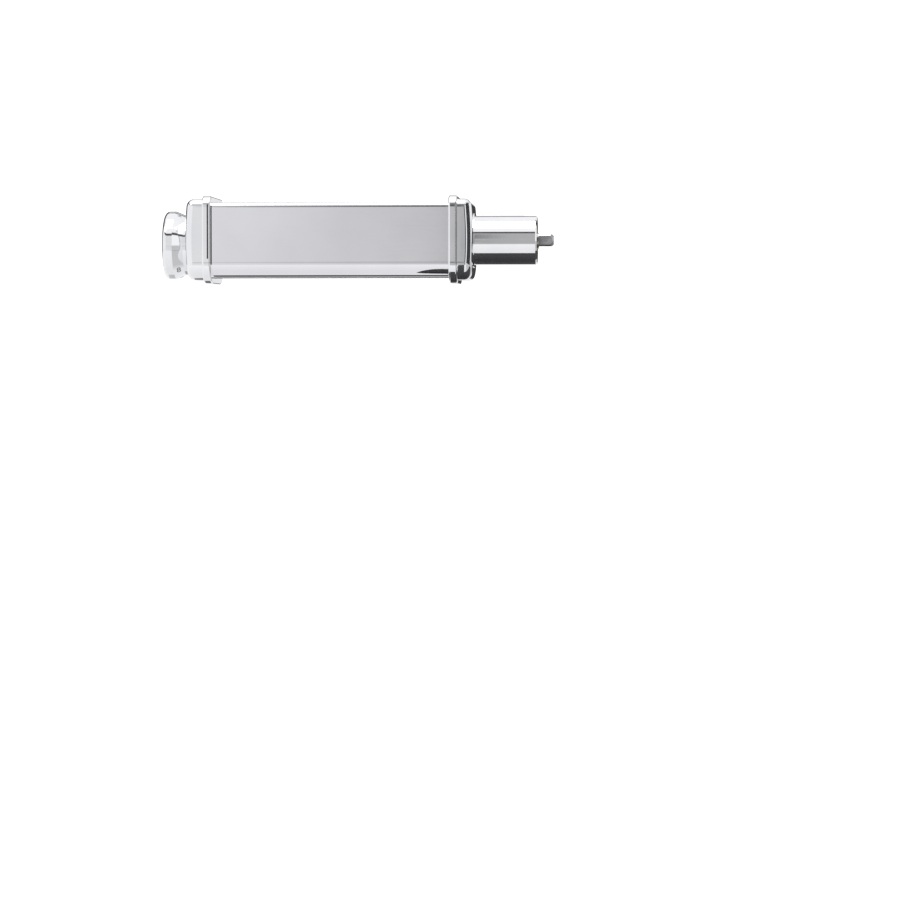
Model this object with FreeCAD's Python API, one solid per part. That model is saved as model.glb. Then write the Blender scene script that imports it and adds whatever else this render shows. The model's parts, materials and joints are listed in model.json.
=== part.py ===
import FreeCAD, Part
import math
import os

# Pasta roller attachment: two steel rollers in a chromed housing, driven through a plain
# round hub on the right and set by a pull-and-turn knob on the left. Millimetres.
# +X points along the hub, -Y is the front, +Z is up. The origin is on the hub's axis,
# where the hub leaves the right end cover.

# Housing
PANEL_LENGTH = 159.0      # between the two side frames
BODY_DEPTH = 57.0         # front panel to rear panel, outside
BODY_HEIGHT = 50.0
SHEET = 1.2               # thickness of the panels
LIP_RADIUS = 3.5          # rounding along the top of a panel
LOWER_RADIUS = 10.0       # rounding along the bottom of a panel
BOTTOM_HEM = 0.6          # flat strip past the lower rounding
MOUTH_EDGE = 2.25         # lower edge of the feed mouth past half the spacing of the rollers
FUNNEL_GAP = 1.7          # funnel edge above the crown of the rollers
GROOVE_DEPTH = 1.5        # how far a panel enters a side frame
FRAME_THICK = 5.8
FRAME_PROUD = 4.3         # side frame outside the panels, all round
FRAME_EDGE = 1.2
COVER_DEPTH = 10.4        # right end cover, along X
LEFT_COVER_DEPTH = 12.1   # left end cover, deeper for the knob's shaft
COVER_INSET = 2.2         # end cover inside the side frame's rim
COVER_WALL = 1.6
COVER_END_WALL = 1.6
COVER_BOW = 1.5           # how much the end of a cover is bowed over its height
COVER_EDGE = 5.0
PAD_RADIUS = 18.5         # flat seat on the end of a cover
GUIDE_THICK = 9.0         # cheek that keeps the dough off a side frame
GUIDE_DROP = 3.0          # top of the cheek below the top of the panels
GUIDE_TOE = 6.0           # foot of the cheek above the roller axes

# Rollers and their gears
ROLLER_ROOM = 1.05        # between a roller and its panel, mean of front and rear
ROLLER_Z = -3.0           # height of both roller axes
WIDE_GAP = 2.5            # gap between the rollers at the first setting
CLOSE_GAP = 0.3           # gap at the last setting
JOURNAL_RADIUS = 6.0
SPINDLE_RADIUS = 5.0      # stepped end of a journal that carries gears
SPINDLE_FLAT = 4.0        # axis to the flat on that end
BUSH_WALL = 2.0
SYNC_TEETH = 14
SYNC_SLACK = 0.1          # sync gears apart from their pitch circles at the last setting
SYNC_ADDENDUM = 2.07      # long teeth, which stay in mesh at both gaps
SYNC_DEDENDUM = 2.40
DRIVEN_TEETH = 16
PINION_TEETH = 12
DRIVE_OFFSET = 0.35       # drive gears' centres past half the spacing of the rollers
DRIVE_ADDENDUM = 1.0
DRIVE_DEDENDUM = 1.25
DRIVE_SPREAD = 0.1        # drive gears set this much further apart than their pitch circles
PRESSURE_ANGLE = math.radians(20)
TOOTH_THINNING = 0.12     # taken off each flank
SYNC_WIDTH = 3.2
DRIVE_WIDTH = 2.8
GEAR_SPACE = 1.0          # spacer between the two gears of the front roller
SPACER_WALL = 2.0
CLIP_THICK = 0.5
CLIP_WALL = 1.6
CLIP_LAND = 0.2           # shaft past its clip

# Sliding carriage of the rear roller
BLOCK_HALF_WIDTH = 10.0
BLOCK_RISE = 9.0          # bearing block above the roller axis
BLOCK_FOOT = 3.2          # and below the scraper bar's axis
BLOCK_CORNER = 3.5
BLOCK_WALL = 2.2          # closed outer wall of the left block
BAR_UNDER = 4.1           # scraper bars' axes below the rollers
BAR_RADIUS = 2.5
FOLLOWER_RADIUS = 2.0
FOLLOWER_SHANK = 1.4
SCRAPER_WALL = 1.1
SCRAPER_ANGLE = 60.0      # where a blade meets its roller, below the level of the axis

# Knob and adjuster
SETTINGS = 8
SETTING_STEP = math.radians(40)
CAM_RIM = 1.2             # material outside the spiral groove
CAM_THICK = 4.0
GROOVE_CUT = 2.6          # depth of the spiral groove
ADJUSTER_RADIUS = 5.0
SQUARE = 6.4              # square end of the adjuster shaft, across the flats
KNOB_GAP = 0.6            # knob off the cover
KNOB_LENGTH = 17.4
KNOB_RADIUS = 23.0
KNOB_NECK = 20.2          # radius beside the cover
KNOB_FACE = 19.8          # radius of the domed face
KNOB_RING = 2.8           # end of the straight ring beside the cover, from the cover
KNOB_TAPER = 9.6          # end of the tapered skirt
KNOB_BAND = 13.6          # end of the straight grip
KNOB_DOME = 1.4
KNOB_RECESS = 8.0         # depth of the hollow behind the grip
KNOB_BOSS = 9.5
KNOB_WALL = 3.0
KNOB_FLOOR = 4.0          # floor under the spring
CAP_RADIUS = 13.0
CAP_THICK = 1.4
SPRING_ROOM = 7.2         # radius of the spring's pocket
SPRING_RADIUS = 5.6       # axis to the middle of the spring's wire
SPRING_WIRE = 0.9
SPRING_LENGTH = 7.6
WASHER_RADIUS = 6.6
WASHER_THICK = 0.8
INDEX_CIRCLE = 14.6
INDEX_RADIUS = 1.5
INDEX_DENT = 0.7
INDEX_LENGTH = 7.0

# Drive
HUB_RADIUS = 16.65
HUB_LENGTH = 42.0
HUB_EDGE = 1.0
SPIGOT_RADIUS = 12.0
NOTCH_WIDTH = 6.0
NOTCH_LENGTH = 9.0
NOTCH_DEPTH = 3.0
SHAFT_RADIUS = 5.0
SHAFT_BUSH_WALL = 3.0
SHAFT_BUSH_LENGTH = 12.0
COLLAR_RADIUS = 6.2
PINION_SEAT = 3.2
TIP_LENGTH = 11.0
TIP_SQUARE = 8.0          # across the flats of the driving end
TIP_TAPER = 2.0

# Rods and screws that hold the housing together
ROD_RADIUS = 3.0
ROD_DROP = 11.0           # upper rods below the top of the panels
ROD_RISE = 7.5            # lower rod above their bottom
ROD_INSET = 5.0           # rod centres inside the outer face of the panels
SCREW_RADIUS = 1.5
SCREW_HEAD = 2.8
SCREW_GRIP = 8.0          # thread past the frame
COVER_SCREW_Y = 9.0
COVER_SCREW_Z = 18.0
LOW_SCREW_Y = -8.0
LOW_SCREW_Z = -23.0
COVER_BOSS = 3.2
PEG_RADIUS = 1.5
PEG_LENGTH = 3.0
PEG_Y = 4.0
PEG_Z = 15.0

# Fits
SEAT = 0.02               # pressed or clamped pieces
RUNNING = 0.04            # shaft in a bush
SLIDING = 0.08            # block in its window, knob on its square
CLEAR = 0.3               # pieces that pass each other
ROLLER_CLEAR = 0.5
SMALL = 1e-4

# Stations along X
FRAME_OUT = -COVER_DEPTH
FRAME_IN = FRAME_OUT - FRAME_THICK
MIDDLE = FRAME_IN - PANEL_LENGTH / 2
LEFT_IN = FRAME_IN - PANEL_LENGTH
LEFT_OUT = LEFT_IN - FRAME_THICK
LEFT_END = LEFT_OUT - LEFT_COVER_DEPTH
SYNC_X = FRAME_OUT + CLEAR
SYNC_END = SYNC_X + SYNC_WIDTH
DRIVE_X = SYNC_END + GEAR_SPACE
DRIVE_END = DRIVE_X + DRIVE_WIDTH
CAM_X = LEFT_OUT - CLEAR

# Places across the housing
HALF_DEPTH = BODY_DEPTH / 2
HALF_HEIGHT = BODY_HEIGHT / 2
FRAME_HALF_DEPTH = HALF_DEPTH + FRAME_PROUD
FRAME_HALF_HEIGHT = HALF_HEIGHT + FRAME_PROUD
COVER_HALF_DEPTH = FRAME_HALF_DEPTH - COVER_INSET
COVER_HALF_HEIGHT = FRAME_HALF_HEIGHT - COVER_INSET
COVER_TOP_RADIUS = LIP_RADIUS + FRAME_PROUD - COVER_INSET
COVER_LOW_RADIUS = LOWER_RADIUS + FRAME_PROUD - COVER_INSET
BOW_RADIUS = (COVER_HALF_HEIGHT ** 2 + COVER_BOW ** 2) / (2 * COVER_BOW)
ROLLER_RADIUS = (HALF_DEPTH - SHEET - ROLLER_ROOM - WIDE_GAP / 2) / 2
NECK = 2 * (ROLLER_RADIUS + WIDE_GAP / 2 + MOUTH_EDGE)
SYNC_MODULE = (2 * ROLLER_RADIUS + CLOSE_GAP - SYNC_SLACK) / SYNC_TEETH
DRIVE_CENTRES = ROLLER_RADIUS + WIDE_GAP / 2 + DRIVE_OFFSET
DRIVE_MODULE = 2 * (DRIVE_CENTRES - DRIVE_SPREAD) / (DRIVEN_TEETH + PINION_TEETH)
FIXED_Y = -math.sqrt(DRIVE_CENTRES ** 2 - ROLLER_Z ** 2)
MOVING_Y = FIXED_Y + 2 * ROLLER_RADIUS + WIDE_GAP
GAP_TRAVEL = WIDE_GAP - CLOSE_GAP
KNOB_TRAVEL = (SETTINGS - 1) * SETTING_STEP
BAR_Z = ROLLER_Z - ROLLER_RADIUS - BAR_UNDER
BUSH_RADIUS = JOURNAL_RADIUS + BUSH_WALL
COVER_SCREWS = ((-COVER_SCREW_Y, COVER_SCREW_Z), (COVER_SCREW_Y, COVER_SCREW_Z), (LOW_SCREW_Y, LOW_SCREW_Z))
ROD_TOP_Z = HALF_HEIGHT - ROD_DROP
ROD_LOW_Z = ROD_RISE - HALF_HEIGHT
TIE_RODS = {
    "front_upper_tie_rod": (-HALF_DEPTH + ROD_INSET, ROD_TOP_Z),
    "rear_upper_tie_rod": (HALF_DEPTH - ROD_INSET, ROD_TOP_Z),
    "front_lower_tie_rod": (-HALF_DEPTH + ROD_INSET, ROD_LOW_Z),
}
ROD_SCREWS = list(TIE_RODS.values()) + [(FIXED_Y, BAR_Z)]


def vec(x, y, z):
    return FreeCAD.Vector(x, y, z)


def rod(x0, x1, y, z, radius):
    """Round bar along X."""
    return Part.makeCylinder(radius, x1 - x0, vec(x0, y, z), vec(1, 0, 0))


def tube(x0, x1, y, z, radius, bore):
    return rod(x0, x1, y, z, radius).cut(rod(x0, x1, y, z, bore))


def box(x0, x1, y0, y1, z0, z1):
    return Part.makeBox(x1 - x0, y1 - y0, z1 - z0, vec(x0, y0, z0))


def mirrored(shape):
    """The same piece at the other end of the machine."""
    return shape.mirror(vec(MIDDLE, 0, 0), vec(1, 0, 0))


def polar(centre, radius, angle):
    """Point of the Y-Z plane at an angle that runs from +Y towards +Z."""
    return vec(0, centre[0] + radius * math.cos(angle), centre[1] + radius * math.sin(angle))


def line(start, end):
    return Part.LineSegment(start, end).toShape()


def arc(centre, radius, start, end):
    """Arc of the Y-Z plane between two angles."""
    middle = polar(centre, radius, (start + end) / 2)
    return Part.Arc(polar(centre, radius, start), middle, polar(centre, radius, end)).toShape()


def bar_of(edges, x0, x1):
    """Solid from a closed outline in the Y-Z plane, between two stations along X."""
    face = Part.Face(Part.Wire(edges))
    face.translate(vec(x0, 0, 0))
    return face.extrude(vec(x1 - x0, 0, 0))


def polygon_bar(points, x0, x1):
    corners = [vec(0, y, z) for y, z in points]
    return bar_of([line(a, b) for a, b in zip(corners, corners[1:] + corners[:1])], x0, x1)


def level_edges(shape, z):
    """Edges that run along X at one height."""
    found = []
    for edge in shape.Edges:
        ends = [v.Point for v in edge.Vertexes]
        if len(ends) == 2 and (ends[0] - ends[1]).cross(vec(1, 0, 0)).Length < SMALL:
            if abs(ends[0].z - z) < SMALL:
                found.append(edge)
    return found


def rounded_bar(x0, x1, half_depth, half_height, top_radius, low_radius):
    """Bar along X with rounded long edges."""
    bar = box(x0, x1, -half_depth, half_depth, -half_height, half_height)
    bar = bar.makeFillet(top_radius, level_edges(bar, half_height))
    return bar.makeFillet(low_radius, level_edges(bar, -half_height))


def countersunk_hole(face_x, inward, y, z):
    """Screw hole through a side frame, its head flush with the face at face_x."""
    far = face_x + inward * FRAME_THICK
    hole = rod(min(face_x, far), max(face_x, far), y, z, SCREW_RADIUS + SEAT)
    depth = SCREW_HEAD - SCREW_RADIUS
    head = Part.makeCone(SCREW_HEAD + SEAT, SCREW_RADIUS + SEAT, depth, vec(face_x, y, z), vec(inward, 0, 0))
    return hole.fuse(head)


def screw(face_x, inward, y, z, length):
    """Countersunk screw with a cross slot, its head at face_x."""
    depth = SCREW_HEAD - SCREW_RADIUS
    head = Part.makeCone(SCREW_HEAD, SCREW_RADIUS, depth, vec(face_x, y, z), vec(inward, 0, 0))
    shank = Part.makeCylinder(SCREW_RADIUS, length, vec(face_x, y, z), vec(inward, 0, 0))
    reach = SCREW_HEAD * 0.6
    slot = SCREW_RADIUS * 0.2
    deep = depth * 0.6
    first = box(face_x - deep, face_x + deep, y - reach, y + reach, z - slot, z + slot)
    second = box(face_x - deep, face_x + deep, y - slot, y + slot, z - reach, z + reach)
    return head.fuse(shank).removeSplitter().cut(first).cut(second)


def tapped_ends(bar, y, z):
    """Threaded holes in both ends of a bar that spans the side frames."""
    for x0, x1 in ((LEFT_IN, LEFT_IN + SCREW_GRIP), (FRAME_IN - SCREW_GRIP, FRAME_IN)):
        bar = bar.cut(rod(x0, x1, y, z, SCREW_RADIUS + SEAT))
    return bar


# Housing

def funnel_line(grow):
    """Ends and normal of the front funnel's upper face, from its edge to the lip."""
    lip = (-HALF_DEPTH + LIP_RADIUS, HALF_HEIGHT - LIP_RADIUS)
    edge = (-NECK / 2, ROLLER_Z + ROLLER_RADIUS + FUNNEL_GAP)
    reach = math.hypot(edge[0] - lip[0], edge[1] - lip[1])
    tangent = math.atan2(edge[1] - lip[1], edge[0] - lip[0]) + math.acos(LIP_RADIUS / reach)
    normal = vec(0, math.cos(tangent), math.sin(tangent))
    along = vec(0, normal.z, -normal.y)
    start = vec(0, edge[0], edge[1]) + along * grow
    return lip, tangent, normal, start


def front_panel_bar(grow, x0, x1):
    """Bent sheet: funnel, rounded lip, flat front, lower rounding and hem."""
    lip, tangent, normal, edge = funnel_line(grow)
    low = (-HALF_DEPTH + LOWER_RADIUS, -HALF_HEIGHT + LOWER_RADIUS)
    hem_y = low[0] + BOTTOM_HEM + grow
    skins = []
    for offset in (grow, -SHEET - grow):
        edge_point = edge + normal * offset
        hem_point = vec(0, hem_y, -HALF_HEIGHT - offset)
        lip_radius = LIP_RADIUS + offset
        low_radius = LOWER_RADIUS + offset
        skins.append((edge_point, hem_point, [
            line(edge_point, polar(lip, lip_radius, tangent)),
            arc(lip, lip_radius, tangent, math.pi),
            line(polar(lip, lip_radius, math.pi), polar(low, low_radius, math.pi)),
            arc(low, low_radius, math.pi, 1.5 * math.pi),
            line(polar(low, low_radius, 1.5 * math.pi), hem_point),
        ]))
    outer, inner = skins
    ends = [line(outer[1], inner[1]), line(inner[0], outer[0])]
    return bar_of(Part.__sortEdges__(outer[2] + inner[2] + ends), x0, x1)


def panel(front):
    shape = front_panel_bar(0, LEFT_IN - GROOVE_DEPTH, FRAME_IN + GROOVE_DEPTH)
    return shape if front else shape.mirror(vec(0, 0, 0), vec(0, 1, 0))


def block_window():
    """Opening of a side frame that a bearing block slides in."""
    half = BLOCK_HALF_WIDTH
    window = box(
        FRAME_IN, FRAME_OUT,
        MOVING_Y - GAP_TRAVEL - half - CLEAR, MOVING_Y + half + CLEAR,
        BAR_Z - BLOCK_FOOT - SLIDING, ROLLER_Z + BLOCK_RISE + SLIDING,
    )
    corners = level_edges(window, BAR_Z - BLOCK_FOOT - SLIDING)
    corners += level_edges(window, ROLLER_Z + BLOCK_RISE + SLIDING)
    return window.makeFillet(BLOCK_CORNER - CLEAR, corners)


def side_frame():
    """Right side frame: a thick plate with a rounded rim."""
    plate = rounded_bar(
        FRAME_IN, FRAME_OUT, FRAME_HALF_DEPTH, FRAME_HALF_HEIGHT,
        LIP_RADIUS + FRAME_PROUD, LOWER_RADIUS + FRAME_PROUD,
    )
    flats = [f for f in plate.Faces if abs(f.normalAt(0, 0).x) > 1 - SMALL]
    plate = plate.makeFillet(FRAME_EDGE, [e for f in flats for e in f.Edges])
    groove = front_panel_bar(SEAT, FRAME_IN, FRAME_IN + GROOVE_DEPTH + SEAT)
    plate = plate.cut(groove).cut(groove.mirror(vec(0, 0, 0), vec(0, 1, 0)))
    plate = plate.cut(rod(FRAME_IN, FRAME_OUT, FIXED_Y, ROLLER_Z, BUSH_RADIUS + SEAT))
    plate = plate.cut(block_window())
    for y, z in ROD_SCREWS:
        plate = plate.cut(countersunk_hole(FRAME_OUT, -1, y, z))
    for y, z in COVER_SCREWS:
        plate = plate.cut(countersunk_hole(FRAME_IN, 1, y, z))
    for y in (-PEG_Y, PEG_Y):
        plate = plate.cut(rod(FRAME_IN, FRAME_IN + PEG_LENGTH + SEAT, y, PEG_Z, PEG_RADIUS + SEAT))
    return plate


def cap_body(depth, wall, end_wall):
    """Body of an end cover at the right end, shrunk by the walls, its end bowed and its rim rounded."""
    bar = rounded_bar(
        -depth, COVER_EDGE, COVER_HALF_DEPTH - wall, COVER_HALF_HEIGHT - wall,
        COVER_TOP_RADIUS - wall, COVER_LOW_RADIUS - wall,
    )
    radius = BOW_RADIUS - end_wall
    start = vec(-BOW_RADIUS, -FRAME_HALF_DEPTH, 0)
    bow = Part.makeCylinder(radius, 2 * FRAME_HALF_DEPTH, start, vec(0, 1, 0))
    body = bar.common(bow)
    rim = []
    for face in body.Faces:
        if abs(getattr(face.Surface, "Radius", 0) - radius) < SMALL:
            rim += face.Edges
    return body.makeFillet(COVER_EDGE - wall, rim)


def end_cover(depth, pad_z, bore):
    """End cover at the right end: hollow cap, flat pad, screw bosses and a bore in the pad."""
    outer = cap_body(depth, 0, 0)
    cover = outer.cut(cap_body(depth, COVER_WALL, COVER_END_WALL))
    cover = cover.fuse(rod(-COVER_END_WALL, 0, 0, pad_z, PAD_RADIUS))
    for y, z in COVER_SCREWS:
        boss = rod(-depth, -COVER_END_WALL, y, z, COVER_BOSS).common(outer)
        cover = cover.fuse(boss)
    for y, z in COVER_SCREWS:
        cover = cover.cut(rod(-depth, SCREW_GRIP - depth, y, z, SCREW_RADIUS + SEAT))
    return cover.removeSplitter().cut(rod(-depth, 0, 0, pad_z, bore + SEAT))


def left_end_cover():
    """Left cover: carries the adjuster bush in a boss, with a ring of index dents."""
    cover = end_cover(LEFT_COVER_DEPTH, ROLLER_Z, ADJUSTER_RADIUS + BUSH_WALL)
    boss_x = -COVER_END_WALL - 2 * BUSH_WALL
    boss = tube(boss_x, -COVER_END_WALL, 0, ROLLER_Z, KNOB_BOSS, ADJUSTER_RADIUS + BUSH_WALL + SEAT)
    cover = mirrored(cover.fuse(boss).removeSplitter())
    cover.translate(vec(COVER_DEPTH - LEFT_COVER_DEPTH, 0, 0))
    for setting in range(SETTINGS):
        spot = polar((0, ROLLER_Z), INDEX_CIRCLE, math.pi / 2 + setting * SETTING_STEP)
        centre = vec(LEFT_END - INDEX_RADIUS + INDEX_DENT, spot.y, spot.z)
        cover = cover.cut(Part.makeSphere(INDEX_RADIUS, centre))
    return cover


def dough_guide():
    """Right cheek: fills the feed mouth's end above the rollers, on two pegs."""
    _, _, normal, edge = funnel_line(0)
    foot = edge + normal * CLEAR
    top_z = HALF_HEIGHT - GUIDE_DROP
    top_y = foot.y - (top_z - foot.z) * normal.z / normal.y
    toe_z = ROLLER_Z + GUIDE_TOE
    half = [(foot.y, toe_z), (foot.y, foot.z), (top_y, top_z)]
    other = [(-y, z) for y, z in reversed(half)]
    cheek = polygon_bar(half + other, FRAME_IN - GUIDE_THICK, FRAME_IN)
    for y in (FIXED_Y, MOVING_Y, MOVING_Y - GAP_TRAVEL):
        cheek = cheek.cut(rod(LEFT_IN, FRAME_OUT, y, ROLLER_Z, ROLLER_RADIUS + ROLLER_CLEAR))
    for y in (-PEG_Y, PEG_Y):
        cheek = cheek.fuse(rod(FRAME_IN, FRAME_IN + PEG_LENGTH, y, PEG_Z, PEG_RADIUS))
    return cheek


def tie_rod(y, z):
    return tapped_ends(rod(LEFT_IN, FRAME_IN, y, z, ROD_RADIUS), y, z)


def rod_screws():
    """Eight screws that pull the frames onto the tie rods and the front scraper bar."""
    length = FRAME_THICK + SCREW_GRIP - CLEAR
    right = [screw(FRAME_OUT, -1, y, z, length) for y, z in ROD_SCREWS]
    return Part.makeCompound(right + [mirrored(s) for s in right])


def cover_screws():
    """Six screws from inside the frames into the bosses of the covers."""
    length = FRAME_THICK + SCREW_GRIP - CLEAR
    right = [screw(FRAME_IN, 1, y, z, length) for y, z in COVER_SCREWS]
    return Part.makeCompound(right + [mirrored(s) for s in right])


# Rollers

def spindle(x0, x1, y):
    """Stepped end of a roller, with the flat that keys its gears."""
    bar = rod(x0, x1, y, ROLLER_Z, SPINDLE_RADIUS)
    top = ROLLER_Z + SPINDLE_FLAT
    return bar.cut(box(x0, x1, y - JOURNAL_RADIUS, y + JOURNAL_RADIUS, top, top + JOURNAL_RADIUS))


def roller(y, left_end, right_end):
    """Barrel with its journals in the side frames and its gear end on the right."""
    barrel = rod(LEFT_IN + CLEAR, FRAME_IN - CLEAR, y, ROLLER_Z, ROLLER_RADIUS)
    barrel = barrel.makeChamfer(CLEAR, [e for e in barrel.Edges if len(e.Vertexes) == 1])
    shaft = rod(left_end, FRAME_OUT, y, ROLLER_Z, JOURNAL_RADIUS)
    body = barrel.fuse(shaft).fuse(spindle(FRAME_OUT, right_end, y)).removeSplitter()
    groove_x = right_end - CLIP_LAND - CLIP_THICK
    ring = tube(
        groove_x - SEAT, groove_x + CLIP_THICK + SEAT, y, ROLLER_Z,
        JOURNAL_RADIUS, SPINDLE_RADIUS - CLIP_WALL / 2,
    )
    return body.cut(ring)


def clip(x0, y, z, shaft_radius):
    """Open spring clip in the groove at the end of a shaft."""
    inside = shaft_radius - CLIP_WALL / 2 + SEAT
    ring = tube(x0, x0 + CLIP_THICK, y, z, shaft_radius + CLIP_WALL / 2, inside)
    return ring.cut(box(x0, x0 + CLIP_THICK, y - inside * 0.8, y + inside * 0.8, z, z + 2 * shaft_radius))


def bush(x0, x1, y, z, journal, wall):
    return tube(x0, x1, y, z, journal + wall, journal + RUNNING)


def involute(angle):
    return math.tan(angle) - angle


def gear_edges(centre, teeth, module, tip_radius, root_radius, turn):
    """Outline of a spur gear, one tooth centred at the angle turn."""
    pitch_radius = module * teeth / 2
    base_radius = pitch_radius * math.cos(PRESSURE_ANGLE)
    start_radius = max(base_radius, root_radius)
    pitch_half = math.pi / (2 * teeth) - TOOTH_THINNING / pitch_radius

    def half_angle(radius):
        return pitch_half + involute(PRESSURE_ANGLE) - involute(math.acos(base_radius / radius))

    radii = (start_radius, (start_radius + tip_radius) / 2, tip_radius)
    step = 2 * math.pi / teeth
    foot = half_angle(start_radius)
    edges = []
    for tooth in range(teeth):
        middle = turn + tooth * step
        for side in (-1, 1):
            flank = [polar(centre, r, middle + side * half_angle(r)) for r in radii]
            edges.append(Part.Arc(*flank).toShape())
            if root_radius < start_radius:
                edges.append(line(polar(centre, root_radius, middle + side * foot), flank[0]))
        tip = half_angle(tip_radius)
        edges.append(arc(centre, tip_radius, middle - tip, middle + tip))
        edges.append(arc(centre, root_radius, middle + foot, middle + step - foot))
    return Part.__sortEdges__(edges)


def keyed_bore(x0, x1, y):
    """Hole that fits a spindle and its flat."""
    bore = rod(x0, x1, y, ROLLER_Z, SPINDLE_RADIUS + SEAT)
    top = ROLLER_Z + SPINDLE_FLAT + SEAT
    reach = 2 * SPINDLE_RADIUS
    return bore.cut(box(x0, x1, y - reach, y + reach, top, top + reach))


def sync_gear(y, turn):
    """One of the equal gears that make the rollers turn together."""
    pitch = SYNC_MODULE * SYNC_TEETH / 2
    edges = gear_edges(
        (y, ROLLER_Z), SYNC_TEETH, SYNC_MODULE, pitch + SYNC_ADDENDUM, pitch - SYNC_DEDENDUM, turn
    )
    return bar_of(edges, SYNC_X, SYNC_END).cut(keyed_bore(SYNC_X, SYNC_END, y))


def drive_gear_blank(centre, teeth, turn):
    pitch = DRIVE_MODULE * teeth / 2
    edges = gear_edges(centre, teeth, DRIVE_MODULE, pitch + DRIVE_ADDENDUM, pitch - DRIVE_DEDENDUM, turn)
    return bar_of(edges, DRIVE_X, DRIVE_END)


def driven_gear():
    """Gear of the front roller, one tooth towards the pinion."""
    blank = drive_gear_blank((FIXED_Y, ROLLER_Z), DRIVEN_TEETH, math.atan2(-ROLLER_Z, -FIXED_Y))
    return blank.cut(keyed_bore(DRIVE_X, DRIVE_END, FIXED_Y))


def gear_spacer():
    ring = rod(SYNC_END, DRIVE_X, FIXED_Y, ROLLER_Z, SPINDLE_RADIUS + SPACER_WALL)
    return ring.cut(keyed_bore(SYNC_END, DRIVE_X, FIXED_Y))


def scraper(axis_y, inward):
    """Blade clipped on a bar under a roller, its edge just off the roller."""
    bar = (axis_y, BAR_Z)
    outer = BAR_RADIUS + SCRAPER_WALL
    x0 = LEFT_IN + 2 * CLEAR
    x1 = FRAME_IN - 2 * CLEAR
    down = math.radians(SCRAPER_ANGLE)
    reach = ROLLER_RADIUS + CLEAR
    tip = (axis_y + inward * reach * math.cos(down), ROLLER_Z - reach * math.sin(down))
    upper = (bar[0] + inward * outer * math.cos(math.pi / 6), bar[1] + outer / 2)
    lower = (upper[0], bar[1] - outer / 2)
    blunt = (tip[0], tip[1] - CLEAR)
    blade = polygon_bar([bar, upper, tip, blunt, lower], x0, x1)
    body = rod(x0, x1, bar[0], bar[1], outer).fuse(blade).removeSplitter()
    return body.cut(rod(x0, x1, bar[0], bar[1], BAR_RADIUS + SEAT))


# Carriage

def bearing_block(bore_end):
    """Right bearing block: slides in the frame's window, bored up to bore_end."""
    half = BLOCK_HALF_WIDTH
    low = BAR_Z - BLOCK_FOOT
    high = ROLLER_Z + BLOCK_RISE
    block = box(FRAME_IN, FRAME_OUT, MOVING_Y - half, MOVING_Y + half, low, high)
    block = block.makeFillet(BLOCK_CORNER, level_edges(block, low) + level_edges(block, high))
    block = block.cut(rod(FRAME_IN, bore_end, MOVING_Y, ROLLER_Z, BUSH_RADIUS + SEAT))
    return block.cut(countersunk_hole(FRAME_OUT, -1, MOVING_Y, BAR_Z))


def left_bearing_block():
    block = bearing_block(FRAME_OUT - BLOCK_WALL)
    hole = rod(FRAME_OUT - BLOCK_WALL, FRAME_OUT, MOVING_Y, ROLLER_Z, FOLLOWER_SHANK + SEAT)
    return mirrored(block.cut(hole))


def follower_pin():
    """Pin on the left block that rides in the spiral groove."""
    head = rod(CAM_X - GROOVE_CUT + CLEAR, LEFT_OUT, MOVING_Y, ROLLER_Z, FOLLOWER_RADIUS)
    return head.fuse(rod(LEFT_OUT, LEFT_OUT + BLOCK_WALL, MOVING_Y, ROLLER_Z, FOLLOWER_SHANK))


def carriage_screws():
    length = FRAME_THICK + SCREW_GRIP - CLEAR
    right = screw(FRAME_OUT, -1, MOVING_Y, BAR_Z, length)
    return Part.makeCompound([right, mirrored(right)])


# Adjuster and knob, with their own distance out from the left cover

def out(distance):
    """Station along X at a distance outside the left cover."""
    return LEFT_END - distance


def knob_rod(near, far, y, z, radius):
    return rod(out(far), out(near), y, z, radius)


def square_bar(near, far, across):
    half = across / 2
    return box(out(far), out(near), -half, half, ROLLER_Z - half, ROLLER_Z + half)


def spiral_edge(offset, extra):
    """One side of the groove that moves the follower evenly as the knob turns."""
    points = []
    count = 3 * SETTINGS
    for i in range(count + 1):
        turn = -extra + (KNOB_TRAVEL + 2 * extra) * i / count
        radius = MOVING_Y - GAP_TRAVEL * turn / KNOB_TRAVEL + offset
        points.append(polar((0, ROLLER_Z), radius, -turn))
    curve = Part.BSplineCurve()
    curve.interpolate(points)
    return curve.toShape()


def scroll_cam():
    """Disc with the spiral groove on its inner face and a square bore."""
    half_width = FOLLOWER_RADIUS + SLIDING
    extra = CLEAR / MOVING_Y
    outer = spiral_edge(half_width, extra)
    inner = spiral_edge(-half_width, extra)
    edges = [outer, inner]
    for turn in (-extra, KNOB_TRAVEL + extra):
        middle = MOVING_Y - GAP_TRAVEL * turn / KNOB_TRAVEL
        away = half_width / middle * (-1 if turn < 0 else 1)
        ends = [polar((0, ROLLER_Z), middle + d, -turn) for d in (half_width, -half_width)]
        cap = polar((0, ROLLER_Z), middle, -turn - away)
        edges.append(Part.Arc(ends[0], cap, ends[1]).toShape())
    groove = bar_of(Part.__sortEdges__(edges), CAM_X - GROOVE_CUT, CAM_X)
    disc = rod(CAM_X - CAM_THICK, CAM_X, 0, ROLLER_Z, MOVING_Y + half_width + CAM_RIM)
    half = SQUARE / 2 + SEAT
    bore = box(CAM_X - CAM_THICK, CAM_X, -half, half, ROLLER_Z - half, ROLLER_Z + half)
    return disc.cut(groove).cut(bore)


def washer_station():
    return KNOB_GAP + KNOB_FLOOR + SPRING_LENGTH


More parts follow.
